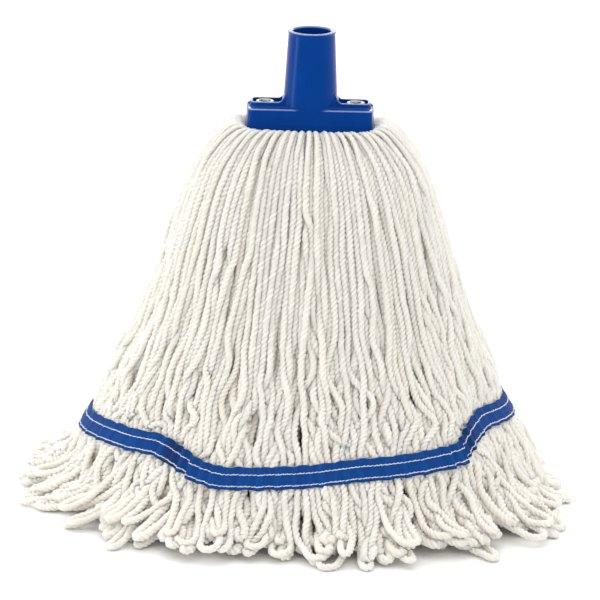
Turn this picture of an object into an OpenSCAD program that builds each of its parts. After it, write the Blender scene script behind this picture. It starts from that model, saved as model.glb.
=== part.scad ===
// String mop head: a moulded handle socket riveted to a hank of looped yarn,
// with a woven tape sewn round the lower part of the skirt.
// Millimetres. +Z up, the floor at z = 0, the socket's axis on Z.
// X runs along the header's long side and -Y is the front.

/* [Overall] */
// Height of the socket's rim above the floor
total_h = 323; // [300:1:350]
// Half width of the yarn skirt on the floor, along X
skirt_a = 190; // [150:1:220]
// Half depth of the yarn skirt on the floor, along Y
skirt_b = 172; // [140:1:190]

/* [Header] */
// Half length of the header box at its corners
header_a = 41.6; // [38:0.2:48]
// How far each end of the header bows out at its middle
header_bow = 1.8; // [0.5:0.1:4]
// Half depth of the header box
header_b = 16; // [15:0.5:20]
// Height of the header box, from its lower rim to the ledge
header_h = 15.6; // [14:0.2:20]
// Height of the header's lower rim above the floor
header_z = 255.3; // [235:0.1:275]
// Wall thickness of the header box
wall = 2.2; // [1.8:0.1:2.6]
// Thickness of the header's roof
roof = 2.5; // [2:0.1:3.5]
// How far the lower rim stands out at the ends
flange = 2.0; // [0.5:0.1:3]

/* [Socket tube] */
// Radius of the handle bore
bore_r = 12.6; // [11:0.1:13]
// Radius of the tube under its rim
tube_r = 16; // [15.5:0.1:17]
// Extra half width of the tube at its foot, along X
tube_spread = 2.8; // [0:0.1:4]
// Radius of the rim lip
lip_r = 16.6; // [16.2:0.1:18]
// Thickness of the rim lip
lip_t = 1.4; // [1:0.1:3]
// Radius of the blend between the tube and the recess walls
blend_r = 5.5; // [3:0.5:8]

/* [Recesses and rivets] */
// Distance of each rivet from the socket's axis
rivet_x = 31; // [29:0.5:32.5]
// Radius of a rivet's rolled head
rivet_head_r = 6.4; // [5.5:0.1:6.4]
// Outer radius of a rivet's shank
rivet_shank_r = 4; // [3:0.1:4.5]
// Wall thickness of a rivet's shank
rivet_wall = 0.7; // [0.5:0.1:1]
// Height of the recess walls above the ledge
recess_h = 3.5; // [2.5:0.1:5]
// Half depth of a recess, outside its walls
recess_b = 8; // [8:0.1:9.5]
// Thickness of the recess walls
recess_wall = 1.3; // [1:0.1:1.3]

/* [Clamp] */
// Half length of the clamp plate
plate_a = 38; // [36:0.5:38.5]
// Half width of the clamp plate
plate_b = 6.5; // [6:0.1:7]
// Thickness of the clamp plate
plate_t = 1.5; // [1:0.1:2]
// Thickness of the tape sewn across the middle of the hank
centre_tape_t = 0.9; // [0.5:0.1:1.5]

/* [Tail band] */
// Width of the tape sewn round the skirt
band_w = 15.6; // [12:0.2:20]
// Thickness of the tape
band_t = 0.9; // [0.6:0.1:1.2]
// Height of the tape's lower edge at the front and the back
band_z_front = 43; // [30:1:50]
// Height of the tape's lower edge at the two sides
band_z_side = 52; // [40:1:60]
// Width of a row of stitching
stitch_w = 0.9; // [0.6:0.1:1.2]
// How far a row of stitching stands out of the tape
stitch_t = 0.5; // [0.3:0.1:0.8]

/* [Hidden] */

gap = 0.3;                              // clearance between loose neighbours
ledge_z = header_z + header_h;          // top of the header box
ceil_z = ledge_z - roof;                // ceiling inside the header box
recess_z = ledge_z + recess_h;          // top of the recess walls
socket_z = recess_z + blend_r + 0.6;    // floor of the handle bore, above the blends
cav_a = header_a - wall;                // half length inside the header box
cav_b = header_b - wall;                // half depth inside the header box
plate_z = header_z + 1.6;               // underside of the clamp plate
tape_z = plate_z + plate_t + 0.05;
crown_z = tape_z + centre_tape_t + 0.05;
n_outer = 16;
n_inner = 6;
// Half width and half depth of the skirt at each height, as shares of the floor size,
// and the power of the rounded outline there (2 is an ellipse, more is squarer).
// Each row: height as a share of the header's height, x share, y share, power.
skirt = [
  [1.000, 0.207, 0.076, 7],
  [0.994, 0.243, 0.128, 5],
  [0.968, 0.320, 0.205, 3.6],
  [0.885, 0.418, 0.310, 2.9],
  [0.720, 0.497, 0.410, 2.6],
  [0.530, 0.565, 0.515, 2.4],
  [0.360, 0.650, 0.625, 2.3],
  [0.240, 0.745, 0.735, 2.2],
  [0.110, 0.870, 0.865, 2.1],
  [0.000, 1.000, 1.000, 2.0]];
// Share of the outer outline at which the inside of the outer layer runs.
inner_share = [0.60, 0.62, 0.64, 0.68, 0.74, 0.79, 0.83, 0.86, 0.87, 0.86];
core_share = 0.45;
skirt_top = header_z - 0.4;

function lev_z(i) = skirt[i][0] * skirt_top;
function seg(z, i = 0) = (i >= len(skirt) - 2 || z >= lev_z(i + 1)) ? i : seg(z, i + 1);
function mix(a, b, t) = a + (b - a) * t;
function seg_t(z, i) = max(0, min(1, (lev_z(i) - z) / (lev_z(i) - lev_z(i + 1))));
function prof(z, k) = let (i = seg(z)) mix(skirt[i][k], skirt[i + 1][k], seg_t(z, i));
function share(z) = let (i = seg(z)) mix(inner_share[i], inner_share[i + 1], seg_t(z, i));
function spow(v, p) = sign(v) * pow(abs(v), p);
// Point of the outline at angle t, height z and scale s
function rim(t, z, s = 1) = let (n = prof(z, 3))
  [s * skirt_a * prof(z, 1) * spow(cos(t), 2 / n), s * skirt_b * prof(z, 2) * spow(sin(t), 2 / n), z];

// Closed skin over a stack of rings that all have the same number of points,
// listed anticlockwise from above and from the top ring down.
module stack(rings) {
  m = len(rings[0]);
  n = len(rings);
  pts = [for (r = rings) for (p = r) p];
  faces = concat(
    [[for (j = [m - 1:-1:0]) j]],
    [for (i = [0:n - 2]) for (j = [0:m - 1]) for (k = [0:1])
      let (a = i * m + j, b = i * m + (j + 1) % m, c = a + m, d = b + m)
      k == 0 ? [a, b, d] : [a, d, c]],
    [[for (j = [0:m - 1]) (n - 1) * m + j]]);
  polyhedron(points = pts, faces = faces, convexity = 6);
}

// Ribbon that runs once round the skirt: each section is four points
module loop_strip(sections) {
  n = len(sections);
  pts = [for (s = sections) for (p = s) p];
  faces = [for (i = [0:n - 1]) for (j = [0:3]) for (k = [0:1])
    let (i2 = (i + 1) % n, a = i * 4 + j, b = i * 4 + (j + 1) % 4, c = i2 * 4 + j, d = i2 * 4 + (j + 1) % 4)
    k == 0 ? [a, b, d] : [a, d, c]];
  polyhedron(points = pts, faces = faces, convexity = 8);
}

// A bundle of strands. Each ring is listed from its fourth point on, part way along its outer side.
module bundle(rings) color("ivory") stack([for (r = rings) [for (j = [0:len(r) - 1]) r[(j + 3) % len(r)]]]);

// One bundle of the outer layer of yarn, the i-th of n_outer
module outer_bundle(i) {
  t0 = (i - 0.5) * 360 / n_outer;
  t1 = (i + 0.5) * 360 / n_outer;
  m = 5;
  rings = [for (l = [0:len(skirt) - 1])
    let (z = lev_z(l), s = inner_share[l],
      lo = rim(t0, z), li = rim(t0, z, s), ho = rim(t1, z), hi = rim(t1, z, s),
      d0 = gap / 2 / norm([lo[0], lo[1]]) * 57.3, d1 = gap / 2 / norm([ho[0], ho[1]]) * 57.3)
    concat(
      [for (k = [0:m - 1]) rim(mix(t0 + d0, t1 - d1, k / (m - 1)), z)],
      [for (k = [m - 1:-1:0]) rim(mix(t0 + d0 / s, t1 - d1 / s, k / (m - 1)), z, s)])];
  bundle(rings);
}

// One bundle of the inner ring of yarn, the i-th of n_inner
module inner_bundle(i) {
  t0 = (i - 0.5) * 360 / n_inner;
  t1 = (i + 0.5) * 360 / n_inner;
  m = 7;
  rings = [for (l = [1:len(skirt) - 1])
    let (z = lev_z(l), s1 = inner_share[l] - 0.02, s0 = inner_share[l] * core_share + 0.02,
      d = gap / (skirt_b * prof(z, 2) * s0) * 57.3)
    concat(
      [for (k = [0:m - 1]) rim(mix(t0 + d / 2, t1 - d / 2, k / (m - 1)), z, s1)],
      [for (k = [m - 1:-1:0]) rim(mix(t0 + d / 2, t1 - d / 2, k / (m - 1)), z, s0)])];
  bundle(rings);
}

// The strands that hang straight down from the middle of the header
module yarn_core() {
  m = 32;
  rings = [for (l = [1:len(skirt) - 1])
    [for (k = [0:m - 1]) rim(k * 360 / m, lev_z(l), inner_share[l] * core_share)]];
  bundle(rings);
}

// The folded middle of the hank: packed in the header box over the clamp plate,
// with a flank down each side of the plate
module yarn_crown() {
  a = cav_a - 0.5;
  b = cav_b - 0.4;
  color("ivory") difference() {
    translate([-a, -b, header_z]) cube([2 * a, 2 * b, ceil_z - gap - header_z]);
    translate([-a - 1, -plate_b - gap, header_z - 1]) cube([2 * a + 2, 2 * (plate_b + gap), crown_z - header_z + 1]);
    for (s = [-1, 1]) translate([s * rivet_x, 0, crown_z - 1]) cylinder(r = rivet_shank_r + 0.2, h = 20, $fn = 48);
  }
}

// Points of one end of an outline seen from above: half length a, half depth b,
// corner radius r and a bowed middle
function end_x(y, a, b, bow, r) = let (e = max(0, abs(y) - (b - r))) a - r + sqrt(max(0, r * r - e * e)) + bow * (1 - pow(y / b, 2));
function end_pts(a, b, bow, r) = [for (y = concat(
  [for (t = [90:-15:15]) -(b - r) - r * sin(t)],
  [for (k = [-1:0.25:1]) k * (b - r)],
  [for (t = [15:15:90]) (b - r) + r * sin(t)])) [end_x(y, a, b, bow, r), y]];
function lift(pts, z) = [for (p = pts) [p[0], p[1], z]];
// Closed outline of the header, grown at its ends and at its sides
function plan(z, end = 0, side = 0) = let (e = end_pts(header_a + end, header_b + side, header_bow, 3 + side))
  lift(concat(e, [for (p = e) [-p[0], -p[1]]]), z);

// Header box, with a rounded ledge edge and a flared lower rim
module header_box() stack([
  plan(ledge_z, -0.9, -0.9), plan(ledge_z - 0.25, -0.3, -0.3), plan(ledge_z - 0.9),
  plan(header_z + 4, 0.5, 0.2), plan(header_z + 2.6, 0.9, 0.35), plan(header_z + 1.4, flange - 0.2, 0.6),
  plan(header_z + 0.9, flange, 0.7), plan(header_z, flange, 0.7)]);

// Walls of one recess, drawn on the +X side
function recess_ring(z, g) = lift(concat(end_pts(header_a - 1.1 + g, recess_b + g, 0, 4), [[4, recess_b + g], [4, -recess_b - g]]), z);
module recess_shell() stack([
  recess_ring(recess_z, -0.35), recess_ring(recess_z - 0.35, 0), recess_ring(ledge_z + 0.9, 0.5),
  recess_ring(ledge_z + 0.3, 0.9), recess_ring(ledge_z - 0.1, 1.5), recess_ring(ledge_z - 0.5, 1.5)]);

// Side view of the concave blend from a recess wall up to the tube
module blend_web() {
  x0 = tube_r + 1.6;
  n = 8;
  z0 = recess_z - 0.2;
  rotate([90, 0, 0]) translate([0, 0, -recess_b]) linear_extrude(2 * recess_b)
    polygon(concat([[x0 - 3, z0 - 1], [x0 + blend_r, z0 - 1]],
      [for (k = [0:n]) [x0 + blend_r - blend_r * sin(k * 90 / n), z0 + blend_r - blend_r * cos(k * 90 / n)]],
      [[x0 - 3, z0 + blend_r]]));
}

module socket_body() {
  pocket_x0 = tube_r + 3.4;
  pocket_x1 = header_a - 1.1 - recess_wall;
  color([0.04, 0.26, 0.6]) difference() {
    union() {
      header_box();
      // tube, round at the rim and spread along X at its foot
      hull() {
        for (s = [-1, 1]) translate([s * tube_spread, 0, ledge_z - 0.4]) cylinder(r = header_b - 0.1, h = 0.2, $fn = 64);
        translate([0, 0, total_h - lip_t - 0.2]) cylinder(r = tube_r, h = 0.2, $fn = 64);
      }
      // rim lip
      rotate_extrude($fn = 96) translate([0, total_h - lip_t]) polygon(
        [[bore_r - 0.4, 0], [tube_r - 0.2, 0], [lip_r, 0.5], [lip_r, lip_t - 0.5], [lip_r - 0.5, lip_t], [bore_r - 0.4, lip_t]]);
      // recess walls with their blends, and a short rib on the ledge at each end
      for (m = [0, 1]) mirror([m, 0, 0]) {
        recess_shell();
        blend_web();
        translate([header_a - 2, 2.6, ledge_z - 0.2]) cube([2 + header_bow - 0.2, 1.4, 1.3]);
      }
    }
    // handle bore, with a small lead-in
    translate([0, 0, socket_z]) cylinder(r = bore_r, h = total_h, $fn = 96);
    translate([0, 0, total_h - 0.7]) cylinder(r1 = bore_r, r2 = bore_r + 0.8, h = 0.8, $fn = 96);
    // yarn box
    translate([-cav_a, -cav_b, header_z - 1]) cube([2 * cav_a, 2 * cav_b, ceil_z - header_z + 1]);
    // recess pockets and rivet holes
    for (m = [0, 1]) mirror([m, 0, 0]) {
      translate([pocket_x0, -recess_b + recess_wall, ledge_z]) cube([pocket_x1 - 3 - pocket_x0, 2 * (recess_b - recess_wall), 30]);
      translate([pocket_x0, -recess_b + recess_wall + 3, ledge_z]) cube([pocket_x1 - pocket_x0, 2 * (recess_b - recess_wall - 3), 30]);
      for (sy = [-1, 1]) translate([pocket_x1 - 3, sy * (recess_b - recess_wall - 3), ledge_z]) cylinder(r = 3, h = 30, $fn = 48);
      translate([rivet_x, 0, ceil_z - 1]) cylinder(r = rivet_shank_r + 0.1, h = 10, $fn = 48);
    }
  }
}

// Tubular rivet: rolled head in the recess, plain shank, rolled foot under the clamp plate
module rivet(s) {
  hr = 1.35;
  z1 = ledge_z + 0.1;
  z0 = plate_z - 0.1;
  ri = rivet_shank_r - rivet_wall;
  color("silver") translate([s * rivet_x, 0, 0]) rotate_extrude($fn = 64) union() {
    translate([ri, z0 - 0.8]) square([rivet_wall, z1 + 1.4 - z0 + 0.8]);
    translate([ri, z1]) square([rivet_head_r - hr - ri, 0.9]);
    translate([rivet_head_r - hr, z1 + hr]) circle(r = hr, $fn = 32);
    translate([ri, z0 - 0.8]) square([2.6, 0.8]);
  }
}
module rivet_left() rivet(-1);
module rivet_right() rivet(1);

module strip(a, b, z, t, hole) {
  difference() {
    translate([0, 0, z]) linear_extrude(t) union() {
      square([2 * (a - b), 2 * b], center = true);
      for (s = [-1, 1]) translate([s * (a - b), 0]) circle(r = b, $fn = 64);
    }
    for (s = [-1, 1]) translate([s * rivet_x, 0, z - 1]) cylinder(r = hole, h = t + 2, $fn = 48);
  }
}
module clamp_plate() color("gray") strip(plate_a, plate_b, plate_z, plate_t, rivet_shank_r + 0.1);
module centre_tape() color("white") strip(plate_a, plate_b, tape_z, centre_tape_t, rivet_shank_r + 0.1);

// Height of the tape's lower edge round the skirt
function band_z(t) = mix(band_z_front, band_z_side, pow(abs(cos(t)), 1.6));
// Point on the skirt at height z, moved out by d
function on_skin(t, z, d, s = 1) = let (p = rim(t, z, s), r = norm([p[0], p[1]])) [p[0] * (1 + d / r), p[1] * (1 + d / r), z];

// Tape on the skirt from share u0 to share u1 of its width, between distances d0 and d1 from the skin
module tape(u0, u1, d0, d1, s, shift = 0) {
  n = 96;
  loop_strip([for (i = [0:n - 1]) let (t = i * 360 / n, zl = band_z(t) + shift, c = 0.86)
    [on_skin(t, zl + u0 * band_w * c, d0, s), on_skin(t, zl + u0 * band_w * c, d1, s),
     on_skin(t, zl + u1 * band_w * c, d1, s), on_skin(t, zl + u1 * band_w * c, d0, s)]]);
}
module tail_band_outer() color([0.05, 0.3, 0.66]) tape(0, 1, 0.5, 0.5 + band_t, 1);
module stitch_lower() color("white") tape(0.17, 0.17 + stitch_w / band_w, 0.52 + band_t, 0.52 + band_t + stitch_t, 1);
module stitch_upper() color("white") tape(0.67, 0.67 + stitch_w / band_w, 0.52 + band_t, 0.52 + band_t + stitch_t, 1);
// Backing tape, in the gap between the outer layer and the inner bundles
module tail_band_inner() color([0.05, 0.3, 0.66]) loop_strip([for (i = [0:95]) let (t = i * 360 / 96, zl = band_z(t),
    z1 = zl + band_w * 0.86, k0 = share(zl), k1 = share(z1))
    [on_skin(t, zl, -0.6 - band_t, k0), on_skin(t, zl, -0.6, k0),
     on_skin(t, z1, -0.6, k1), on_skin(t, z1, -0.6 - band_t, k1)]]);

module yarn_01() outer_bundle(0);
module yarn_02() outer_bundle(1);
module yarn_03() outer_bundle(2);
module yarn_04() outer_bundle(3);
module yarn_05() outer_bundle(4);
module yarn_06() outer_bundle(5);
module yarn_07() outer_bundle(6);
module yarn_08() outer_bundle(7);
module yarn_09() outer_bundle(8);
module yarn_10() outer_bundle(9);
module yarn_11() outer_bundle(10);
module yarn_12() outer_bundle(11);
module yarn_13() outer_bundle(12);
module yarn_14() outer_bundle(13);
module yarn_15() outer_bundle(14);
module yarn_16() outer_bundle(15);
module yarn_inner_1() inner_bundle(0);
module yarn_inner_2() inner_bundle(1);
module yarn_inner_3() inner_bundle(2);
module yarn_inner_4() inner_bundle(3);
module yarn_inner_5() inner_bundle(4);
module yarn_inner_6() inner_bundle(5);

socket_body();
rivet_left();
rivet_right();
clamp_plate();
centre_tape();
yarn_crown();
yarn_01();
yarn_02();
yarn_03();
yarn_04();
yarn_05();
yarn_06();
yarn_07();
yarn_08();
yarn_09();
yarn_10();
yarn_11();
yarn_12();
yarn_13();
yarn_14();
yarn_15();
yarn_16();
yarn_inner_1();
yarn_inner_2();
yarn_inner_3();
yarn_inner_4();
yarn_inner_5();
yarn_inner_6();
yarn_core();
tail_band_outer();
tail_band_inner();
stitch_upper();
stitch_lower();
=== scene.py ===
import math
import bpy
import bmesh
import numpy as np
from mathutils import Matrix, Vector


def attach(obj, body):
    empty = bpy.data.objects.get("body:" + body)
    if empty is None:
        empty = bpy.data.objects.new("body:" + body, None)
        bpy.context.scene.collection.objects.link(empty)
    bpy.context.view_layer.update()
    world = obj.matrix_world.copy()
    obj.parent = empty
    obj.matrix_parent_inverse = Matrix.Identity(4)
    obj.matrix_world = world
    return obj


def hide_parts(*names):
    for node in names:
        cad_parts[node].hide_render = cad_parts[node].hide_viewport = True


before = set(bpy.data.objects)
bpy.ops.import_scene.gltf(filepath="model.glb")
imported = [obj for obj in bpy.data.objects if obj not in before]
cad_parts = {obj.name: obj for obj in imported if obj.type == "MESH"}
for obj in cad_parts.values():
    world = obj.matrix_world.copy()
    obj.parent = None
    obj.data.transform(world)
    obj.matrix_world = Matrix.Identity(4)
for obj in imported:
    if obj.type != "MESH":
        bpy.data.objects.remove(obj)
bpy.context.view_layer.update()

scene = bpy.context.scene
MM = 0.001
rng = np.random.default_rng(20417)

# ---------------------------------------------------------------- camera
cam_data = bpy.data.cameras.new("camera")
cam_data.sensor_width = 36.0
cam_data.lens = 195.4
cam_data.clip_end = 20.0
cam = bpy.data.objects.new("camera", cam_data)
scene.collection.objects.link(cam)
cam.matrix_world = (Matrix.Translation((0.0, -2.170, 0.768))
                    @ Matrix.Rotation(math.radians(0.107), 4, "Z")
                    @ Matrix.Rotation(math.radians(90 - 16.33), 4, "X")
                    @ Matrix.Rotation(math.radians(1.28), 4, "Z"))
scene.camera = cam


# ---------------------------------------------------------------- small helpers
def smooth(e0, e1, x):
    t = np.clip((np.asarray(x, float) - e0) / (e1 - e0), 0, 1)
    return t * t * (3 - 2 * t)


def new_object(name, verts, faces, smooth_shade=True):
    """verts in metres, faces as an (n, 3 or 4) array or a list of such arrays"""
    me = bpy.data.meshes.new(name)
    blocks = faces if isinstance(faces, list) else [faces]
    loops = np.concatenate([b.ravel() for b in blocks]).astype(np.int32)
    sizes = np.concatenate([np.full(len(b), b.shape[1], np.int32) for b in blocks])
    starts = np.concatenate([[0], np.cumsum(sizes)[:-1]]).astype(np.int32)
    me.vertices.add(len(verts))
    me.vertices.foreach_set("co", np.asarray(verts, np.float32).ravel())
    me.loops.add(len(loops))
    me.loops.foreach_set("vertex_index", loops)
    me.polygons.add(len(sizes))
    me.polygons.foreach_set("loop_start", starts)
    me.polygons.foreach_set("loop_total", sizes)
    me.update(calc_edges=True)
    me.validate()
    me.polygons.foreach_set("use_smooth", np.full(len(me.polygons), smooth_shade))
    ob = bpy.data.objects.new(name, me)
    scene.collection.objects.link(ob)
    return ob


def attribute(ob, name, values, kind="FLOAT"):
    a = ob.data.attributes.new(name, kind, "POINT")
    key = "vector" if kind == "FLOAT_VECTOR" else "value"
    a.data.foreach_set(key, np.asarray(values, np.float32).ravel())


class Nodes:
    """A short way to write a material's node tree"""

    def __init__(self, name):
        self.mat = bpy.data.materials.new(name)
        self.mat.use_nodes = True
        self.t = self.mat.node_tree
        self.t.nodes.clear()
        self.out = self.t.nodes.new("ShaderNodeOutputMaterial")
        self.bsdf = self.t.nodes.new("ShaderNodeBsdfPrincipled")
        self.link(self.bsdf.outputs[0], self.out.inputs["Surface"])

    def link(self, a, b):
        self.t.links.new(a, b)

    def set(self, sock, v):
        if hasattr(v, "is_output"):
            self.link(v, sock)
        else:
            sock.default_value = v

    def node(self, kind, props=None, **ins):
        n = self.t.nodes.new(kind)
        for k, v in (props or {}).items():
            setattr(n, k, v)
        for k, v in ins.items():
            self.set(n.inputs[int(k[1:])] if k[0] == "_" and k[1:].isdigit() else n.inputs[k.replace("_", " ")], v)
        return n

    def coords(self):
        return self.node("ShaderNodeTexCoord").outputs["Object"]

    def attr(self, name, out="Fac"):
        return self.node("ShaderNodeAttribute", {"attribute_name": name}).outputs[out]

    def mapping(self, vec, scale=(1, 1, 1), loc=(0, 0, 0)):
        n = self.node("ShaderNodeMapping")
        self.link(vec, n.inputs["Vector"])
        n.inputs["Scale"].default_value = scale
        n.inputs["Location"].default_value = loc
        return n.outputs[0]

    def noise(self, vec, scale, detail=3.0, rough=0.55):
        return self.node("ShaderNodeTexNoise", Vector=vec, Scale=scale, Detail=detail, Roughness=rough).outputs["Fac"]

    def math(self, op, a, b=0.0, c=0.0, clamp=False):
        n = self.node("ShaderNodeMath", {"operation": op, "use_clamp": clamp})
        for i, v in enumerate((a, b, c)):
            self.set(n.inputs[i], v)
        return n.outputs[0]

    def ramp(self, fac, stops):
        n = self.node("ShaderNodeValToRGB")
        el = n.color_ramp.elements
        while len(el) < len(stops):
            el.new(0.5)
        for e, (p, c) in zip(el, stops):
            e.position = p
            e.color = (*c, 1) if len(c) == 3 else c
        self.link(fac, n.inputs[0])
        return n.outputs[0]

    def remap(self, v, a, b, c, d):
        n = self.node("ShaderNodeMapRange")
        self.link(v, n.inputs["Value"])
        for k, x in zip(("From Min", "From Max", "To Min", "To Max"), (a, b, c, d)):
            n.inputs[k].default_value = x
        return n.outputs[0]

    def mix(self, fac, a, b):
        n = self.node("ShaderNodeMix", {"data_type": "RGBA"})
        self.set(n.inputs[0], fac)
        for i, v in ((6, a), (7, b)):
            self.set(n.inputs[i], (*v, 1) if isinstance(v, tuple) and len(v) == 3 else v)
        return n.outputs[2]

    def bump(self, height, distance, strength=1.0, normal=None):
        n = self.node("ShaderNodeBump", Strength=strength, Distance=distance, Height=height)
        if normal is not None:
            self.link(normal, n.inputs["Normal"])
        return n.outputs[0]

    def finish(self, color, rough, normal=None, **consts):
        self.set(self.bsdf.inputs["Base Color"], color)
        self.set(self.bsdf.inputs["Roughness"], rough)
        if normal is not None:
            self.link(normal, self.bsdf.inputs["Normal"])
        for k, v in consts.items():
            self.bsdf.inputs[k.replace("_", " ")].default_value = v
        return self.mat


# ---------------------------------------------------------------- the skirt's outline (mm)
# station: height z, half width a, half depth b, squareness power n
STATIONS = np.array([
    [268.0, 37.2, 11.6, 8.0],
    [260.0, 37.6, 11.9, 8.0],
    [253.4, 39.2, 13.0, 8.0],
    [252.6, 44.0, 16.8, 6.0],
    [255.6, 48.6, 20.6, 5.0],
    [256.8, 54.0, 25.4, 4.4],
    [253.6, 60.8, 31.4, 4.0],
    [247.0, 67.6, 38.6, 3.6],
    [237.0, 74.6, 46.4, 3.3],
    [225.0, 80.6, 54.0, 3.05],
    [206.0, 87.6, 62.4, 2.85],
    [183.0, 95.2, 71.0, 2.65],
    [156.0, 103.8, 80.0, 2.5],
    [132.0, 111.8, 88.0, 2.4],
    [110.0, 121.0, 97.0, 2.35],
    [90.0, 131.2, 107.0, 2.3],
    [74.0, 139.6, 117.0, 2.2],
    [58.0, 149.4, 129.0, 2.2],
    [44.0, 155.6, 138.0, 2.15],
    [30.0, 161.0, 147.0, 2.1],
    [16.0, 170.0, 157.0, 2.05],
    [5.0, 180.0, 166.0, 2.0]])
# How many legs each shell has, from the outside in. The header holds them shell inside shell.
SHELL_COUNT = [56, 66, 78, 70, 70, 64, 50, 44, 38, 32, 26]


def relief(deg, z):
    """How far the skirt stands out (+) or falls back (-) by direction near the tape, mm"""
    deg = np.asarray(deg, float)
    g = lambda c, w: np.exp(-((np.mod(deg - c + 180, 360) - 180) / w) ** 2)
    r = -8.0 * g(-23, 11) + 3.4 * g(-49, 9) - 5.0 * g(-133, 8) + 2.6 * g(-112, 9) + 1.6 * g(-155, 9) \
        - 6.0 * g(14, 14) - 3.0 * g(60, 12) + 2.5 * g(95, 12) - 3.5 * g(130, 9) - 12.0 * g(158, 16)
    return r * np.exp(-((np.asarray(z, float) - 58) / 30.0) ** 2)


def outline(a, b, n, u):
    """Points of a rounded outline at shares u of its length, anticlockwise from +X. a, b, n are arrays of one station."""
    t = np.linspace(0, 2 * np.pi, 721)
    c, s = np.cos(t), np.sin(t)
    x = a * np.sign(c) * np.abs(c) ** (2 / n)
    y = b * np.sign(s) * np.abs(s) ** (2 / n)
    d = np.concatenate([[0], np.cumsum(np.hypot(np.diff(x), np.diff(y)))])
    d /= d[-1]
    u = np.mod(u, 1.0)
    return np.interp(u, d, x), np.interp(u, d, y)


def wave(seed, x, amps_waves):
    """Smooth repeatable noise: a sum of sines with phases from a seed; x is an array, seed an int array"""
    out = np.zeros(np.broadcast(seed, x).shape)
    for k, (amp, wl) in enumerate(amps_waves):
        ph = np.modf(np.sin(seed * (12.9898 + 7.31 * k) + 4.1 * k) * 43758.5453)[0] * 2 * np.pi
        wl2 = wl * (0.8 + 0.4 * np.abs(np.modf(np.sin(seed * (3.17 + k)) * 951.1)[0]))
        out = out + amp * np.sin(2 * np.pi * x / wl2 + ph)
    return out


# ---------------------------------------------------------------- legs of yarn
legs = []
for k, n in enumerate(SHELL_COUNT):
    off = (0.0, 0.5, 0.25)[k % 3]
    for j in range(n):
        legs.append((k, ((j + off + rng.uniform(-0.2, 0.2)) / n) % 1.0))
legs = np.array(legs)
leg_shell = legs[:, 0].astype(int)
leg_u = legs[:, 1]
NL = len(legs)

# Below the header the two outermost shells share the surface, the next two lie under it, and so on.
depth_top = np.arange(11) * 1.1                                              # mm inside the outline, at the header
depth_mid = np.array([0.0, 0.8, 2.8, 4.0, 5.2, 7.0, 10.0, 13.0, 18.0, 24.0, 34.0])      # mm inside, half way down
depth_low = np.array([0.0, 0.4, 1.2, 3.0, 3.8, 4.8, 7.0, 9.5, 15.0, 25.0, 40.0])       # mm inside, at the tape
drop_top = np.array([0.0, 1.5, 3.6, 5.6, 7.4, 9.2, 11.0, 12.6, 14.0, 15.0, 16.0])       # mm lower, round the shoulder
DIA = 4.3                                              # diameter that a packed strand takes up, mm
PLUMP = (1.20, 1.50, 1.9)                              # free strands are this much fuller and press into their neighbours, by layer


def width_at(z):
    """Share of a strand's full thickness at height z: the header squeezes it"""
    return 0.74 + 0.26 * (1 - smooth(228, 256, z))


# Which legs are the two ends of one loop: neighbours in the same layer, 1 to 3 places apart
layer = np.array([0, 0, 0, 1, 1, 1, 2, 2, 2, 2, 2])[leg_shell]
pairs = []
for L in range(3):
    ids = np.where(layer == L)[0]
    ids = ids[np.argsort(leg_u[ids])]
    ids = np.roll(ids, -int(len(ids) * 0.3))
    i = 0
    while i < len(ids):
        blk = list(ids[i:i + 4])
        if len(blk) == 4:
            way = rng.random()
            pairs += [(blk[0], blk[1]), (blk[2], blk[3])] if way < 0.5 else \
                [(blk[0], blk[2]), (blk[1], blk[3])] if way < 0.82 else [(blk[0], blk[3]), (blk[1], blk[2])]
            i += 4
        else:
            while len(blk) >= 2:
                pairs.append((blk.pop(0), blk.pop()))
            i += 4
pairs = np.array(pairs)
NP = len(pairs)
# Some outer loops turn in an open bow, the others are drawn tight
BOW = (layer[pairs[:, 0]] == 0) & (rng.random(NP) < 0.36)


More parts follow.
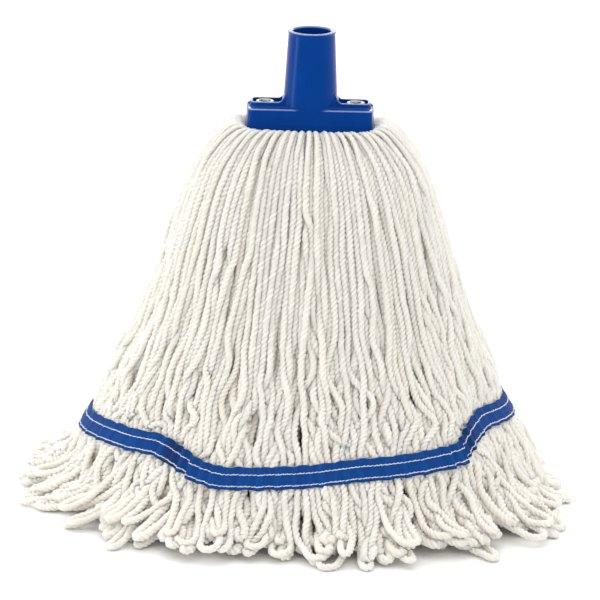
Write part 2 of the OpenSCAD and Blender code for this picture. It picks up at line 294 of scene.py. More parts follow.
def leg_path(u0, sh, seed, side, low_u):
    """Guide of one leg from inside the header to just above the floor, as an (m, 3) array in mm"""
    zs = STATIONS[:, 0]
    m = len(zs)
    k = np.arange(m)
    drop = drop_top[sh] * smooth(2, 3.2, k) * (1 - smooth(6, 10, k))
    dep = depth_top[sh] + (depth_mid[sh] - depth_top[sh]) * smooth(5, 10, k) + (depth_low[sh] - depth_mid[sh]) * smooth(11, 16, k)
    loose = 0.55 + 0.9 * abs(math.sin(seed * 1.618 + 0.4)) ** 3 * 2.2          # a few strands wander much more than the rest
    du = wave(seed * 1.7 + 3, zs, [(0.0022, 120), (0.0013, 62)]) * smooth(250, 180, zs) \
        + loose * wave(seed * 0.9 + 7, zs, [(0.0042, 60), (0.0026, 33)]) * smooth(150, 80, zs)
    # strands gather into groups whose places drift with height
    grp = 0.0024 * np.sin(2 * np.pi * (u0 * 29 + 0.35 * np.sin(zs / 41.0))) + 0.0022 * np.sin(2 * np.pi * (u0 * 17 + zs / 260.0))
    u = u0 + (du + grp * smooth(250, 185, zs)) + low_u * smooth(74, 8, zs)
    x = np.empty(m)
    y = np.empty(m)
    lift = np.zeros(m)
    for j in range(m):
        z, a, b, n = STATIONS[j]
        d = dep[j] + DIA / 2 * width_at(z)
        if j < 3:
            d = dep[j]
        xx, yy = outline(a, b, n, np.array([u[j]]))
        # inward along the outline's normal
        nx = np.sign(xx[0]) * abs(xx[0] / a) ** (n - 1) / a
        ny = np.sign(yy[0]) * abs(yy[0] / b) ** (n - 1) / b
        q = math.hypot(nx, ny) + 1e-12
        x[j], y[j] = xx[0] - nx / q * d, yy[0] - ny / q * d
        lift[j] = (abs(xx[0]) / a) ** 6
    z = zs - drop + lift * np.interp(k, [2, 3, 4, 5, 6, 7], [0, 0, 3.6, 3.4, 1.8, 0])
    rad = wave(seed * 2.3 + 11, zs, [(0.8, 75), (0.5, 38)]) * smooth(215, 150, zs) + loose * wave(seed * 1.3 + 5, zs, [(1.6, 46), (1.0, 29)]) * smooth(150, 85, zs)
    rad = np.minimum(rad, 1.6) + relief(np.degrees(np.arctan2(y, x)), zs)
    rr = np.hypot(x, y) + 1e-9
    x, y = x * (1 + rad / rr), y * (1 + rad / rr)
    return np.stack([x, y, z], 1)


def spline(P, step):
    """Catmull-Rom through P, cut at equal steps"""
    P = np.asarray(P, float)
    Q = np.vstack([2 * P[0] - P[1], P, 2 * P[-1] - P[-2]])
    t = np.linspace(0, 1, 9)[:-1][:, None]
    out = []
    for i in range(1, len(Q) - 2):
        a, b, c, d = Q[i - 1], Q[i], Q[i + 1], Q[i + 2]
        out.append(0.5 * (2 * b + (c - a) * t + (2 * a - 5 * b + 4 * c - d) * t ** 2 + (3 * b - a - 3 * c + d) * t ** 3))
    out.append(P[-1:])
    out = np.vstack(out)
    s = np.concatenate([[0], np.cumsum(np.linalg.norm(np.diff(out, axis=0), axis=1))])
    n = max(4, int(round(s[-1] / step)) + 1)
    q = np.linspace(0, s[-1], n)
    return np.stack([np.interp(q, s, out[:, k]) for k in range(3)], 1)


# How far out a loop's end reaches on the floor, as a share of the outline there, by direction (degrees, from +X)
REACH = np.array([[-180, 1.08], [-165, 1.09], [-150, 1.09], [-135, 1.09], [-120, 1.12], [-105, 1.06], [-95, 0.99], [-86, 1.04], [-75, 1.07],
                  [-62, 1.12], [-50, 1.13], [-35, 1.13], [-19, 1.06], [-5, 1.0], [20, 0.96], [45, 1.0], [90, 1.03], [135, 1.04], [160, 1.06], [180, 1.08]])
FLOOR_A, FLOOR_B = 189.0, 176.0


def loop_path(pair, seed):
    """Guide of one whole loop: down one leg, a turn on or near the floor, and up the other leg"""
    a, b = pair
    sh = leg_shell[a]
    layer_ = layer[a]
    ua, ub = leg_u[a], leg_u[b]
    if ub - ua > 0.5:
        ub -= 1
    if ua - ub > 0.5:
        ub += 1
    if ua > ub:
        a, b, ua, ub = b, a, ub, ua
    r = np.random.default_rng(900 + seed)
    shift = r.normal(0, 0.005) + 0.006 * math.sin(2 * math.pi * (3 * (ua + ub) / 2 + 0.1)) + 0.004 * math.sin(2 * math.pi * 7 * (ua + ub) / 2)
    # the two legs come close together on the floor, with open bows among them
    mid, half = (ua + ub) / 2, (0.0051 if BOW[seed] else 0.0021) + r.uniform(0, 0.0005)
    low_a, low_b = mid - half - ua + shift, mid + half - ub + shift
    A = leg_path(ua, leg_shell[a], 31 * seed + 1, -1, low_a)
    B = leg_path(ub, leg_shell[b], 31 * seed + 2, 1, low_b)
    # cut both legs at the height where the turn begins
    lift = [3.0, 7.0, 10.0][layer_]
    up = r.choice([0.0, 5.0, 11.0, 18.0], p=[0.42, 0.26, 0.20, 0.12]) if layer_ == 0 else r.uniform(0, 15)
    cut = 9.0 + up
    A = A[A[:, 2] > cut]
    B = B[B[:, 2] > cut]
    um = mid + shift
    fx, fy = outline(FLOOR_A, FLOOR_B, 2.0, np.array([um, um - half * 1.15, um + half * 1.15]))
    ang = math.degrees(math.atan2(fy[0], fx[0]))
    reach = np.interp(ang, REACH[:, 0], REACH[:, 1]) * ([1.0, 0.975, 0.93][layer_]) * (1 - 0.045 * abs(r.normal())) - 0.004 * up
    sweep = 7.0 * math.sin(2 * math.pi * (6 * um + 0.2)) + 5.0 * math.sin(2 * math.pi * (14 * um + 0.6)) + r.normal(0, 3.5) \
        - 8.0 * smooth(100, 170, abs(ang)) * (1 if ang < 0 else 0)
    tx, ty = -fy[0], fx[0]
    q = math.hypot(tx, ty)
    tx, ty = tx / q, ty / q
    z0 = 2.3 + up * 0.75 + (lift - 3.0) * 0.4
    F = [np.array([fx[k] * reach * w + tx * sweep * sw, fy[k] * reach * w + ty * sweep * sw, z])
         for k, w, sw, z in ((1, 0.925, 0.55, z0 + 2.6), (1, 0.975, 0.85, z0 + 0.8), (0, 1.0, 1.0, z0), (2, 0.975, 0.85, z0 + 0.8), (2, 0.925, 0.55, z0 + 2.6))]
    return spline(np.vstack([A, F, B[::-1]]), 3.1)


guides = [loop_path(p, i) for i, p in enumerate(pairs)]
count = np.array([len(g) for g in guides])
start = np.concatenate([[0], np.cumsum(count)])
G = np.vstack(guides)
M = len(G)
strand = np.repeat(np.arange(NP), count)
index = np.arange(M) - start[strand]
inner_node = (index > 0) & (index < count[strand] - 1)
rest_len = np.linalg.norm(G[1:] - G[:-1], axis=1)
linked = strand[1:] == strand[:-1]


def close_pairs(P, reach):
    """Pairs of nodes nearer than reach, found on a grid"""
    cell = np.floor((P - P.min(0)) / reach).astype(np.int64) + 1
    dims = cell.max(0) + 2
    key = (cell[:, 0] * dims[1] + cell[:, 1]) * dims[2] + cell[:, 2]
    order = np.argsort(key, kind="stable")
    sk = key[order]
    out_i, out_j = [], []
    offs = [(0, 0, 0)] + [(x, y, z) for x in (-1, 0, 1) for y in (-1, 0, 1) for z in (-1, 0, 1) if (x, y, z) > (0, 0, 0)]
    for o in offs:
        tk = sk + (o[0] * dims[1] + o[1]) * dims[2] + o[2]
        lo = np.searchsorted(sk, tk, "left")
        hi = np.searchsorted(sk, tk, "right")
        c = hi - lo
        src = np.repeat(np.arange(len(sk)), c)
        dst = np.arange(c.sum()) - np.repeat(np.cumsum(c) - c, c) + np.repeat(lo, c)
        if o == (0, 0, 0):
            keep = dst > src
            src, dst = src[keep], dst[keep]
        out_i.append(order[src])
        out_j.append(order[dst])
    i, j = np.concatenate(out_i), np.concatenate(out_j)
    d = P[i] - P[j]
    keep = (d * d).sum(1) < reach * reach
    keep &= ~((strand[i] == strand[j]) & (np.abs(i - j) < 4))
    return i[keep], j[keep]


TAU = 2 * np.pi
BAND_W, BAND_T = 15.6, 0.9                 # the tape's width and thickness, mm
BAND_LOW = np.array([[-180, 43.0], [-170, 45.0], [-162, 46.8], [-150, 49.5], [-136, 50.5], [-124, 46.0], [-112, 40.0], [-102, 40.0], [-92, 42.2],
                     [-73, 46.8], [-60, 47.8], [-48, 48.6], [-41, 50.5], [-36, 57.0], [-25, 61.0], [-8, 58.5], [12, 53.0], [30, 48.0],
                     [50, 45.0], [70, 43.5], [90, 42.5], [115, 43.0], [135, 45.5], [155, 43.0], [180, 43.0]])


def band_low(t):
    """Height of the tape's lower edge at direction t (radians, from +X)"""
    d = np.mod(np.degrees(t) + 180, 360) - 180
    return np.interp(d, BAND_LOW[:, 0], BAND_LOW[:, 1]) + 0.5 * np.sin(7 * t + 1.0) + 0.3 * np.sin(13 * t)


# Settle the strands: they stay near their guides, keep their length, bend smoothly,
# push each other apart and rest on the floor.
P = G.copy()
P += rng.normal(0, 0.15, P.shape)
radius = DIA / 2 * width_at(G[:, 2])
pull = 0.04 + 0.5 * smooth(249, 256, G[:, 2])
fixed = G[:, 2] > 256.5
ROUNDS = 110
for it in range(ROUNDS):
    if it % 4 == 0:
        pi, pj = close_pairs(P, DIA * 1.35)
    P += pull[:, None] * (G - P)
    # bend smoothly
    mid = np.zeros_like(P)
    mid[1:-1] = (P[:-2] + P[2:]) / 2 - P[1:-1]
    P[inner_node] += 0.13 * mid[inner_node]
    # keep length
    d = P[1:] - P[:-1]
    L = np.linalg.norm(d, axis=1) + 1e-9
    corr = (0.35 * (L - rest_len) / L * linked)[:, None] * d
    P[:-1] += corr
    P[1:] -= corr
    # push apart
    d = P[pi] - P[pj]
    L = np.linalg.norm(d, axis=1) + 1e-6
    need = (radius[pi] + radius[pj]) * 0.93
    over = np.clip(need - L, 0, None) * 0.38
    push = (over / L)[:, None] * d
    for k in range(3):
        P[:, k] += np.bincount(pi, push[:, k], M) - np.bincount(pj, push[:, k], M)
    P[:, 2] = np.maximum(P[:, 2], radius + 0.05)
    P[fixed] = G[fixed]
    # under the header's rim
    under = (np.abs(P[:, 0]) < 46.5) & (np.abs(P[:, 1]) < 18.0) & ~fixed
    P[under, 2] = np.minimum(P[under, 2], 253.6)
    # held in by the tape
    if it % 2 == 0:
        near = np.where((P[:, 2] > 30) & (P[:, 2] < 92))[0]
    deg = np.degrees(np.arctan2(P[near, 1], P[near, 0]))
    a_, b_, n_ = (np.interp(P[near, 2], STATIONS[::-1, 0], STATIONS[::-1, k]) for k in (1, 2, 3))
    off = P[near, 2] - band_low(np.radians(deg)) - BAND_W * 0.45
    grow = relief(deg, P[near, 2]) - DIA / 2 + 2.2 * (off / 20) ** 2 - 3.4 * np.exp(-(off / 9.0) ** 2)
    rho = (np.abs(P[near, 0] / (a_ + grow)) ** n_ + np.abs(P[near, 1] / (b_ + grow)) ** n_) ** (1 / n_)
    P[near, :2] /= np.maximum(rho, 1.0)[:, None]
paths = [P[start[i]:start[i + 1]] for i in range(NP)]


# ---------------------------------------------------------------- strands: real surfaces with three twisted plies
PITCH = 10.4                       # one full turn of the plies, mm
PLIES = 3
LOBE = [(0.0, 0.74), (28.0, 0.91), (60.0, 1.00), (92.0, 0.91)]        # one ply: angle and share of the radius


def resample(P, step):
    """Equal steps along a smooth curve through P"""
    P = P.copy()
    for _ in range(2):
        P[1:-1] = 0.25 * P[:-2] + 0.5 * P[1:-1] + 0.25 * P[2:]
    return spline(P, step)


def frames(path):
    """Tangents and a pair of normals that don't spin along the path"""
    T = np.gradient(path, axis=0)
    T /= np.linalg.norm(T, axis=1)[:, None] + 1e-12
    N = np.zeros_like(T)
    v = np.array([1.0, 0, 0]) if abs(T[0, 0]) < 0.8 else np.array([0, 1.0, 0])
    v = v - T[0] * v.dot(T[0])
    N[0] = v / np.linalg.norm(v)
    for i in range(1, len(T)):
        v = N[i - 1] - T[i] * N[i - 1].dot(T[i])
        N[i] = v / (np.linalg.norm(v) + 1e-12)
    return T, N, np.cross(T, N)


def skirt_depth(Q):
    """How deep each point lies inside the skirt's outline, mm"""
    zs, a, b = STATIONS[::-1, 0], STATIONS[::-1, 1], STATIONS[::-1, 2]
    aa = np.interp(Q[:, 2], zs, a)
    bb = np.interp(Q[:, 2], zs, b)
    r = np.hypot(Q[:, 0] / aa, Q[:, 1] / bb)
    return np.clip((1 - r) * np.minimum(aa, bb), -5, 40)


def strand_mesh(path, seed, step, plump):
    """Vertices, faces and per-vertex data of one strand, in mm"""
    Q = resample(path, step)
    n = len(Q)
    T, N, B = frames(Q)
    s = np.arange(n) * step
    r = np.random.default_rng(5000 + seed)
    thick = DIA / 2 * plump * width_at(Q[:, 2]) * (1 + 0.035 * np.sin(s / r.uniform(9, 17) + r.uniform(0, 6)) + 0.02 * np.sin(s / r.uniform(3, 5) + r.uniform(0, 6)))
    pitch = PITCH * r.uniform(0.93, 1.08)
    phase = r.uniform(0, 360)
    twist = np.radians(phase + 360 * s / pitch + 16 * np.sin(s / r.uniform(20, 40)))
    ang = np.concatenate([[k * 360 / PLIES + a for a, _ in LOBE] for k in range(PLIES)])
    rad = np.tile([q for _, q in LOBE], PLIES)
    m = len(ang)
    ang = np.radians(ang)
    th = ang[None, :] + twist[:, None]
    ply = 1 + 0.06 * np.sin(np.repeat(np.arange(PLIES), len(LOBE))[None, :] * 1.9 + s[:, None] / 7.0 + phase)
    R = thick[:, None] * rad[None, :] * np.where(rad[None, :] > 0.8, ply, 1.0)
    V = Q[:, None, :] + R[..., None] * (np.cos(th)[..., None] * N[:, None, :] + np.sin(th)[..., None] * B[:, None, :])
    V = V.reshape(-1, 3)
    i = np.arange(n - 1)[:, None] * m
    j = np.arange(m)[None, :]
    j2 = (j + 1) % m
    quads = np.stack([i + j, i + m + j, i + m + j2, i + j2], -1).reshape(-1, 4)
    # round off both ends with a small cap
    tip0 = Q[0] - T[0] * thick[0] * 0.5
    tip1 = Q[-1] + T[-1] * thick[-1] * 0.5
    V = np.vstack([V, tip0, tip1])
    a, b = n * m, n * m + 1
    jj = np.arange(m)
    caps = np.vstack([np.stack([np.full(m, a), jj, (jj + 1) % m], 1),
                      np.stack([np.full(m, b), (n - 1) * m + (jj + 1) % m, (n - 1) * m + jj], 1)])
    # painted shade: this marks the valley vertices between the plies, which the yarn material darkens to a warm tan
    groove_shade = np.append(np.tile(np.where(rad < 0.8, 1.0, 0.0), n), [1, 1])
    local = np.stack([np.tile(np.cos(ang) * 2, n), np.tile(np.sin(ang) * 2, n), np.repeat(s + seed * 37.0, m)], 1)
    local = np.vstack([local, local[0], local[-1]])
    # depth inside the skirt's outline, which the yarn material turns into painted shade
    depth = np.append(np.repeat(skirt_depth(Q), m), [0, 0])
    tone = np.full(len(V), r.uniform(0, 1))
    return V, quads, caps, groove_shade, local, depth, tone, Q


def yarn_material():
    k = Nodes("cotton_yarn")
    loc = k.attr("local", "Vector")
    fibre = k.noise(k.mapping(loc, (2.2, 2.2, 0.34)), 2.4, 4.0, 0.65)
    fluff = k.noise(k.coords(), 900.0, 3.0, 0.6)
    patch = k.noise(k.mapping(loc, (0.2, 0.2, 0.02)), 1.0, 2.0)
    groove_shade = k.math("POWER", k.attr("groove_shade"), 1.5)
    depth = k.attr("depth")
    tone = k.attr("tone")
    body = k.ramp(k.math("ADD", k.math("MULTIPLY", tone, 0.55), k.math("MULTIPLY", patch, 0.5)),
                  [(0.2, (0.905, 0.85, 0.755)), (0.55, (0.925, 0.88, 0.80)), (0.9, (0.94, 0.905, 0.845))])
    streak = k.remap(fibre, 0.3, 0.7, 0.92, 1.04)
    n = k.node("ShaderNodeMix", {"data_type": "RGBA", "blend_type": "MULTIPLY"})
    n.inputs[0].default_value = 1.0
    k.link(body, n.inputs[6])
    k.link(streak, n.inputs[7])
    body = n.outputs[2]
    # painted shade: the valleys between the plies are darkened to a warm tan
    body = k.mix(k.math("MULTIPLY", groove_shade, 0.55, clamp=True), body, (0.84, 0.75, 0.60))
    # painted shade: strands that lie deeper inside the skirt are darkened to a warmer cream
    depth_shade = k.remap(depth, 3.0, 16.0, 0.0, 0.6)
    body = k.mix(depth_shade, body, (0.92, 0.85, 0.70))
    h = k.math("ADD", k.math("MULTIPLY", fibre, 0.7), k.math("MULTIPLY", fluff, 0.5))
    nrm = k.bump(h, 0.0005, 0.8)
    return k.finish(body, k.remap(fibre, 0.2, 0.8, 0.78, 0.95), nrm,
                    **{"Sheen_Weight": 0.15, "Sheen_Roughness": 0.5, "Specular_IOR_Level": 0.15,
                       "Subsurface_Weight": 1.0, "Subsurface_Radius": (1.0, 1.0, 1.0), "Subsurface_Scale": 0.004})


yarn_mat = yarn_material()
outer = [i for i in range(NP) if BOW[i]]
front_first = sorted(outer, key=lambda i: -np.max(np.hypot(paths[i][:, 0], paths[i][:, 1])))
declared = set(front_first[:38])
FINE, COARSE = ((1.4, 1.9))

groups = {}
for i in range(NP):
    if i in declared:
        groups["loop_%02d" % (sorted(declared).index(i) + 1)] = [i]
    else:
        u = leg_u[pairs[i, 0]]
        L = layer[pairs[i, 0]]
        groups.setdefault("yarn_%s_%02d" % (("outer", "middle", "inner")[L], int(u * (10, 5, 3)[L]) + 1), []).append(i)
surface = []
for name, members in groups.items():
    Vs, Fq, Ft, Gs, Ls, Ds, Ts = [], [], [], [], [], [], []
    base = 0
    for i in members:
        V, q, c, g, l, d, t, Q = strand_mesh(paths[i], i, FINE if layer[pairs[i, 0]] == 0 else COARSE, PLUMP[layer[pairs[i, 0]]])
        Vs.append(V); Fq.append(q + base); Ft.append(c + base); Gs.append(g); Ls.append(l); Ds.append(d); Ts.append(t)
        base += len(V)
        if layer[pairs[i, 0]] == 0:
            surface.append(Q)
    ob = new_object(name, np.vstack(Vs) * MM, [np.vstack(Fq), np.vstack(Ft)])
    attribute(ob, "groove_shade", np.concatenate(Gs))
    attribute(ob, "local", np.vstack(Ls), "FLOAT_VECTOR")
    attribute(ob, "depth", np.concatenate(Ds))
    attribute(ob, "tone", np.concatenate(Ts))
    ob.data.materials.append(yarn_mat)
    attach(ob, "root")
YARN_NODES = ["yarn_%02d" % k for k in range(1, 17)] + ["yarn_inner_%d" % k for k in range(1, 7)] + ["yarn_core", "yarn_crown"]
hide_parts(*YARN_NODES)
surface = np.vstack(surface)


# ---------------------------------------------------------------- tail band
# The tape follows the strands that it gathers: its base line is their outer envelope at its height,
# with a pleat near each end of the front and a lap where the right front panel ends.


LEAN = 0.62                                # the skirt comes in this much for each mm of height, at the tape


def envelope(low, high, bins):
    """Outermost distance of the strands from the axis by direction, between two heights, brought to the tape's middle"""
    t = np.linspace(0, TAU, bins, endpoint=False)
    ang = np.mod(np.arctan2(surface[:, 1], surface[:, 0]), TAU)
    k = (ang / TAU * bins).astype(int) % bins
    zl = band_low(ang)
    sel = (surface[:, 2] > zl + low) & (surface[:, 2] < zl + high)
    r = np.hypot(surface[sel, 0], surface[sel, 1]) + LEAN * (surface[sel, 2] - zl[sel] - BAND_W * 0.425)
    env = np.full(bins, np.nan)
    for kk in range(bins):
        v = r[k[sel] == kk]
        if len(v):
            env[kk] = np.percentile(v, 96)
    good = ~np.isnan(env)
    env = np.interp(t, t[good], env[good], period=TAU)
    return t, env


def ring_smooth(v, width):
    """Average round a ring, width in samples"""
    k = np.exp(-0.5 * (np.arange(-3 * width, 3 * width + 1) / width) ** 2)
    k /= k.sum()
    pad = 3 * width
    w = np.concatenate([v[-pad:], v, v[:pad]])
    return np.convolve(w, k, "valid")


NB = 1440
tb, env = envelope(-1, BAND_W * 0.85 + 1, 360)
env = np.interp(np.linspace(0, TAU, NB, endpoint=False), tb, env, period=TAU)
tb = np.linspace(0, TAU, NB, endpoint=False)
env = np.max([np.roll(env, k) for k in range(-5, 6)], axis=0)
env = ring_smooth(env, 10) + DIA / 2 * PLUMP[0] + 0.15


def pleat(t, at, width, size):
    d = np.degrees(np.arctan2(np.sin(t - at), np.cos(t - at))) / width
    return size * np.exp(-d * d)


# vertical gathers between the stitches, deeper where the tape is slack
gather = (0.75 * np.sin(tb * 88 + 1.6 * np.sin(tb * 9)) + 0.45 * np.sin(tb * 143 + 2.1 * np.sin(tb * 5 + 1)) + 0.35 * np.sin(tb * 37))
slack = 0.45 + 0.35 * np.sin(3 * tb + 0.4) ** 2 + pleat(tb, math.radians(-121), 9, 0.9) + pleat(tb, math.radians(-44), 7, 0.8) + pleat(tb, math.radians(120), 8, 0.6)
# the tape only stands out from the yarn, so what dips inwards is small
gather = gather * slack
gather = np.where(gather < 0, gather * 0.3, gather)
# laps: the front panel's ends stand out over the tape that comes from behind them
lap = np.mod(np.degrees(tb) + 180, 360) - 180
fold = np.interp(lap, [-180, -122.4, -121.7, -117, -108, -54, -46, -41.6, -40.9, 180], [0, 0, 3.6, 2.6, 0, 0, 1.4, 3.8, 0, 0]) \
    + pleat(tb, math.radians(122), 2.4, 1.8) + pleat(tb, math.radians(58), 2.8, 1.5)
# painted shade: darker patches on the tape beside the pleats and the laps
shade = pleat(tb, math.radians(-128), 5.0, 2.3) + pleat(tb, math.radians(-36.5), 4.0, 2.3) + pleat(tb, math.radians(126), 2.5, 1.2)


def band_point(t, v, out):
    """Point on the tape: direction t (array), share v of its width, distance out of its base line (mm)"""
    i = np.mod(t / TAU * NB, NB)
    k = np.arange(NB + 1)
    f = lambda a: np.interp(i, k, np.append(a, a[0]))
    edge = abs(v - 0.5) * 2
    r = f(env) + f(gather) * (0.55 + 0.5 * edge ** 2) + f(fold) * (0.8 + 0.2 * edge) + out
    low = band_low(t)
    r = r - (v - 0.5) * BAND_W * 0.85 * LEAN          # leans in towards its upper edge, like the skirt
    z = low + v * BAND_W * 0.85 + 0.35 * np.sin(t * 61 + 3 * v) * (edge ** 3)
    return np.stack([r * np.cos(t), r * np.sin(t), z], -1)


NV = 15


def tape_mesh(name, r_in, r_out, share=lambda t, P: P):
    vs = np.linspace(0, 1, NV)
    outer_ = np.stack([share(tb, band_point(tb, v, r_out - 0.25 * (abs(v - 0.5) * 2) ** 8)) for v in vs])
    inner_ = np.stack([share(tb, band_point(tb, v, r_in)) for v in vs[::-1]])
    grid = np.concatenate([outer_, inner_])           # goes round the tape's section
    m = len(grid)
    V = grid.reshape(-1, 3)
    a = np.arange(m)[:, None] * NB
    a2 = (np.arange(m)[:, None] + 1) % m * NB
    b = np.arange(NB)[None, :]
    b2 = (b + 1) % NB
    F = np.stack([a + b, a + b2, a2 + b2, a2 + b], -1).reshape(-1, 4)
    ob = new_object(name, V * MM, F)
    vv = np.concatenate([np.repeat(vs, NB), np.repeat(vs[::-1], NB)])
    arc = np.concatenate([[0], np.cumsum(np.hypot(*np.diff(np.vstack([grid[NV // 2], grid[NV // 2][:1]])[:, :2], axis=0).T))])
    attribute(ob, "weave", np.stack([np.tile(arc[:NB], m), vv * BAND_W, np.zeros(m * NB)], -1), "FLOAT_VECTOR")
    # painted shade: the tape is darkened beside its pleats and laps and in the dips between its gathers
    attribute(ob, "hollow_shade", np.tile(shade + 1.0 - 1.4 * gather, m))
    ob.data.materials.append(tape_mat)
    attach(ob, "root")
    return ob, arc[-1]


def tape_material():
    k = Nodes("blue_woven_tape")
    w = k.attr("weave", "Vector")
    sep = k.node("ShaderNodeSeparateXYZ", Vector=w)
    x, y = sep.outputs[0], sep.outputs[1]
    rib = k.math("SINE", k.math("MULTIPLY", x, TAU / 0.62))
    warp = k.math("SINE", k.math("MULTIPLY", y, TAU / 0.52))
    weave = k.math("MULTIPLY", rib, warp)
    n1 = k.noise(k.mapping(w, (0.9, 0.25, 1)), 1.0, 3.0)
    n2 = k.noise(k.coords(), 1400.0, 2.0)
    hollow_shade = k.attr("hollow_shade")
    col = k.ramp(k.remap(n1, 0.3, 0.7, 0.0, 1.0), [(0.0, (0.0006, 0.036, 0.215)), (1.0, (0.001, 0.052, 0.28))])
    col = k.mix(k.remap(weave, 0.1, 1.0, 0.0, 0.3), col, (0.003, 0.085, 0.38))
    # painted shade: darkened towards a near-black blue in the tape's folds, dips and laps
    col = k.mix(k.remap(hollow_shade, 0.5, 3.0, 0.0, 0.85), col, (0.0004, 0.012, 0.085))
    h = k.math("ADD", k.math("MULTIPLY", weave, 0.5), k.math("ADD", k.math("MULTIPLY", rib, 0.4), k.math("MULTIPLY", n2, 0.4)))
    nrm = k.bump(h, 0.00022, 0.8)
    return k.finish(col, k.remap(n2, 0.3, 0.7, 0.55, 0.75), nrm, **{"Sheen_Weight": 0.02, "Sheen_Roughness": 0.4, "Specular_IOR_Level": 0.07})


tape_mat = tape_material()
band_outer, band_len = tape_mesh("tape_outer", 0.0, BAND_T)
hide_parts("tail_band_outer")


def inside(t, P):
    """The backing tape runs one layer of yarn further in"""
    r = np.hypot(P[..., 0], P[..., 1])
    return P * np.stack([(r - 27.0) / r, (r - 27.0) / r, np.ones_like(r)], -1)


band_inner, band_in_len = tape_mesh("tape_inner", 0.0, BAND_T, inside)
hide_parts("tail_band_inner")


# two rows of lockstitch in white thread
def thread_material():
    k = Nodes("white_thread")
    c = k.coords()
    n = k.noise(c, 2600.0, 3.0)
    col = k.ramp(n, [(0.3, (0.66, 0.68, 0.71)), (0.7, (0.86, 0.87, 0.88))])
    return k.finish(col, 0.6, k.bump(n, 0.0001, 0.6), **{"Sheen_Weight": 0.3, "Sheen_Roughness": 0.4})


thread_mat = thread_material()


def stitch_row(name, v, replaces_node):
    """Each stitch is a short raised run of thread whose ends dive into the tape"""
    per = band_len / 3.1
    ns = int(per)
    base = np.linspace(0, TAU, ns, endpoint=False)
    half = TAU / ns * 0.43
    prof = np.array([[-1.0, -0.35], [-0.86, 0.16], [-0.55, 0.34], [0.0, 0.40], [0.55, 0.34], [0.86, 0.16], [1.0, -0.35]])
    m = 8
    Vs, Fs = [], []
    rr = np.random.default_rng(77 + int(v * 100))
    cent = []
    for q, h in prof:
        jit = rr.normal(0, 0.008, ns)
        c = band_point(base + q * half, v, BAND_T + h)
        c[:, 2] += 0.18 * q + rr.normal(0, 0.03)
        cent.append(c)
    C = np.stack(cent, 1)                          # ns, 7, 3
    T = np.gradient(C, axis=1)
    T /= np.linalg.norm(T, axis=2)[..., None]
    up = np.array([0, 0, 1.0])
    Nn = up - T * T[..., 2:3]
    Nn /= np.linalg.norm(Nn, axis=2)[..., None]
    Bn = np.cross(T, Nn)
    a = np.linspace(0, TAU, m, endpoint=False)
    rad = np.array([0.16, 0.21, 0.235, 0.24, 0.235, 0.21, 0.16])
    V = C[:, :, None, :] + rad[None, :, None, None] * (np.cos(a)[None, None, :, None] * Nn[:, :, None, :] + np.sin(a)[None, None, :, None] * Bn[:, :, None, :])
    n7 = len(prof)
    V = V.reshape(-1, 3)
    s0 = np.arange(ns)[:, None, None] * n7 * m
    i = np.arange(n7 - 1)[None, :, None] * m
    j = np.arange(m)[None, None, :]
    j2 = (j + 1) % m
    F = np.stack([s0 + i + j, s0 + i + j2, s0 + i + m + j2, s0 + i + m + j], -1).reshape(-1, 4)
    ends = []
    s1 = np.arange(ns) * n7 * m
    for k in range(1, m - 1):
        ends.append(np.stack([s1, s1 + k + 1, s1 + k], 1))
        e = s1 + (n7 - 1) * m
        ends.append(np.stack([e, e + k, e + k + 1], 1))
    faces = [F, np.vstack(ends)]
    # where the two threads lock, a short tuft stands across the row
    pick = np.where(rr.random(ns) < 0.55)[0]
    tick = []
    for q in (-1.0, -0.4, 0.4, 1.0):
        c = band_point(base[pick] + half * 1.16, v + q * 0.035, BAND_T + (0.22 if abs(q) < 1 else -0.1))
        tick.append(c)
    C = np.stack(tick, 1)
    m = 6
    a = np.linspace(0, TAU, m, endpoint=False)
    out_ = C / np.linalg.norm(C[..., :2], axis=2)[..., None] * [1, 1, 0]
    along = np.cross([0, 0, 1.0], out_)
    V2 = C[:, :, None, :] + np.array([0.12, 0.19, 0.19, 0.12])[None, :, None, None] * (np.cos(a)[None, None, :, None] * out_[:, :, None, :] + np.sin(a)[None, None, :, None] * along[:, :, None, :])
    b0 = len(V)
    s0 = b0 + np.arange(len(pick))[:, None, None] * 4 * m
    i = np.arange(3)[None, :, None] * m
    j = np.arange(m)[None, None, :]
    j2 = (j + 1) % m
    faces.append(np.stack([s0 + i + j, s0 + i + j2, s0 + i + m + j2, s0 + i + m + j], -1).reshape(-1, 4))
    s1 = b0 + np.arange(len(pick)) * 4 * m
    for k in range(1, m - 1):
        faces.append(np.stack([s1, s1 + k + 1, s1 + k], 1))
        faces.append(np.stack([s1 + 3 * m, s1 + 3 * m + k, s1 + 3 * m + k + 1], 1))
    V = np.vstack([V, V2.reshape(-1, 3)])
    ob = new_object(name, V * MM, faces)
    ob.data.materials.append(thread_mat)
    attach(ob, "root")
    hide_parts(replaces_node)
    return ob


stitch_row("stitches_lower", 0.17, "stitch_lower")
stitch_row("stitches_upper", 0.68, "stitch_upper")


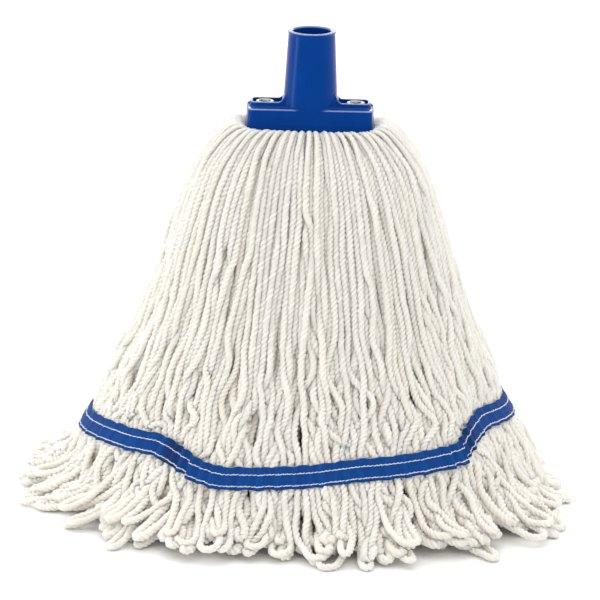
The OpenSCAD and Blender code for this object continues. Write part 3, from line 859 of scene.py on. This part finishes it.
# ---------------------------------------------------------------- the moulded socket
def plastic_material():
    k = Nodes("blue_plastic")
    c = k.coords()
    peel = k.noise(c, 260.0, 2.0, 0.5)
    fine = k.noise(c, 1500.0, 3.0, 0.6)
    scratch = k.noise(k.mapping(c, (1.0, 1.0, 0.06)), 2400.0, 2.0, 0.7)
    scuff = k.noise(c, 55.0, 4.0, 0.65)
    geo = k.node("ShaderNodeNewGeometry")
    edge = k.remap(geo.outputs["Pointiness"], 0.515, 0.60, 0.0, 1.0)
    col = k.ramp(scuff, [(0.25, (0.0001, 0.021, 0.180)), (0.75, (0.0002, 0.027, 0.215))])
    # painted highlight: the convex edges are lightened, as rounded edges catch the light
    col = k.mix(k.math("MULTIPLY", edge, 0.28, clamp=True), col, (0.012, 0.085, 0.34))
    # painted highlight: the upward-facing edges are lightened to a pale blue, as if they caught the light from above
    up = k.remap(k.node("ShaderNodeSeparateXYZ", Vector=geo.outputs["Normal"]).outputs[2], 0.3, 0.8, 0.0, 1.0)
    top_edge_highlight = k.math("MULTIPLY", up, k.remap(geo.outputs["Pointiness"], 0.505, 0.545, 0.0, 0.75), clamp=True)
    col = k.mix(k.math("MULTIPLY", top_edge_highlight, k.remap(scuff, 0.3, 0.6, 0.75, 1.0), clamp=True), col, (0.40, 0.50, 0.70))
    rough = k.math("ADD", k.remap(scuff, 0.35, 0.75, 0.15, 0.25), k.math("MULTIPLY", k.math("GREATER_THAN", scratch, 0.66), 0.10))
    h = k.math("ADD", k.math("MULTIPLY", peel, 1.0), k.math("MULTIPLY", fine, 0.12))
    nrm = k.bump(h, 0.00016, 0.5)
    return k.finish(col, rough, nrm, **{"IOR": 1.5, "Specular_IOR_Level": 0.14, "Specular_Tint": (0.16, 0.55, 1.0, 1.0)})


plastic = plastic_material()


def moulded_copy(node, name, voxel, rounds, mat):
    """A copy of a CAD piece with its edges rounded as a mould leaves them"""
    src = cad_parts[node]
    me = src.data.copy()
    ob = bpy.data.objects.new(name, me)
    scene.collection.objects.link(ob)
    me.transform(src.matrix_world)
    me.materials.clear()
    bm = bmesh.new()
    bm.from_mesh(me)
    bmesh.ops.remove_doubles(bm, verts=bm.verts, dist=1e-6)
    bm.to_mesh(me)
    bm.free()
    mod = ob.modifiers.new("skin", "REMESH")
    mod.mode = "VOXEL"
    mod.voxel_size = voxel
    sm = ob.modifiers.new("soften", "SMOOTH")
    sm.factor = 0.5
    sm.iterations = rounds
    bpy.context.view_layer.update()
    dg = bpy.context.evaluated_depsgraph_get()
    out = bpy.data.meshes.new_from_object(ob.evaluated_get(dg))
    ob.modifiers.clear()
    ob.data = out
    out.polygons.foreach_set("use_smooth", np.ones(len(out.polygons), bool))
    out.materials.clear()
    out.materials.append(mat)
    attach(ob, "root")
    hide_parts(node)
    return ob


moulded_copy("socket_body", "handle_socket", 0.00062, 5, plastic)


# ---------------------------------------------------------------- metal and the tape inside
def metal_material(name, base, rough, brushed):
    k = Nodes(name)
    c = k.coords()
    wear = k.noise(c, 420.0, 4.0, 0.6)
    line = k.noise(k.mapping(c, (0.05, 1.0, 1.0)) if brushed else c, 1800.0, 3.0, 0.6)
    dark = tuple(0.55 * v for v in base)
    col = k.ramp(wear, [(0.25, dark), (0.6, base)])
    r = k.math("ADD", k.remap(wear, 0.3, 0.7, rough * 0.7, rough * 1.4), k.math("MULTIPLY", line, 0.06))
    return k.finish(col, r, k.bump(line, 0.00008, 0.5), Metallic=1.0)


rivet_mat = metal_material("rolled_steel", (0.40, 0.38, 0.355), 0.24, False)
plate_mat = metal_material("plate_steel", (0.50, 0.51, 0.53), 0.34, True)


def white_tape_material():
    k = Nodes("white_tape")
    c = k.coords()
    a = k.node("ShaderNodeTexWave", {"wave_type": "BANDS", "bands_direction": "X"}, Vector=c, Scale=520.0, Distortion=0.6).outputs["Fac"]
    b = k.node("ShaderNodeTexWave", {"wave_type": "BANDS", "bands_direction": "Y"}, Vector=c, Scale=520.0, Distortion=0.6).outputs["Fac"]
    w = k.math("MULTIPLY", a, b)
    col = k.ramp(w, [(0.0, (0.60, 0.58, 0.53)), (0.6, (0.82, 0.81, 0.78))])
    return k.finish(col, 0.85, k.bump(w, 0.0002, 0.7), **{"Sheen_Weight": 0.3})


for node_name, mat in (("rivet_left", rivet_mat), ("rivet_right", rivet_mat), ("clamp_plate", plate_mat), ("centre_tape", white_tape_material())):
    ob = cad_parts[node_name]
    if not ob.material_slots:
        ob.data.materials.append(mat)
    for sl in ob.material_slots:
        sl.material = mat


# ---------------------------------------------------------------- floor, light
def floor_material():
    k = Nodes("pale_floor")
    n = k.noise(k.coords(), 3.0, 2.0)
    return k.finish(k.ramp(n, [(0.3, (0.96, 0.96, 0.96)), (0.7, (0.98, 0.98, 0.98))]), 0.6, **{"Specular_IOR_Level": 0.2})


R = 9.0
fv = np.array([(-R, -R, 0.0), (R, -R, 0.0), (R, R, 0.0), (-R, R, 0.0)])
ff = np.array([(0, 1, 2, 3)])
floor = new_object("floor", fv, ff)
floor.data.materials.append(floor_material())

world = bpy.data.worlds.new("studio")
world.use_nodes = True
bg = world.node_tree.nodes["Background"]
bg.inputs[0].default_value = (1.0, 0.99, 0.965, 1)
bg.inputs[1].default_value = 0.83
scene.world = world


def softbox(name, loc, target, size, power, color=(1, 1, 1)):
    ld = bpy.data.lights.new(name, "AREA")
    ld.shape = "RECTANGLE"
    ld.size, ld.size_y = size
    ld.energy = power
    ld.color = color
    ob = bpy.data.objects.new(name, ld)
    scene.collection.objects.link(ob)
    ob.location = loc
    ob.rotation_euler = (Vector(target) - Vector(loc)).to_track_quat("-Z", "Y").to_euler()
    ob.visible_camera = False
    return ob


softbox("key", (-1.0, -1.5, 1.5), (0, 0, 0.12), (1.9, 1.9), 2.4)
softbox("fill", (1.4, -1.5, 1.1), (0, 0, 0.12), (1.9, 1.9), 4.0)
softbox("top", (0.0, 0.5, 2.7), (0, 0.2, 0.1), (3.4, 3.0), 44)
softbox("left", (-1.2, -0.35, 0.30), (0, 0, 0.28), (0.32, 0.6), 3.2)
softbox("back", (0.0, 2.2, 0.95), (0, 0, 0.30), (1.8, 0.55), 12)

scene.view_settings.view_transform = "Standard"
scene.view_settings.gamma = 1.15
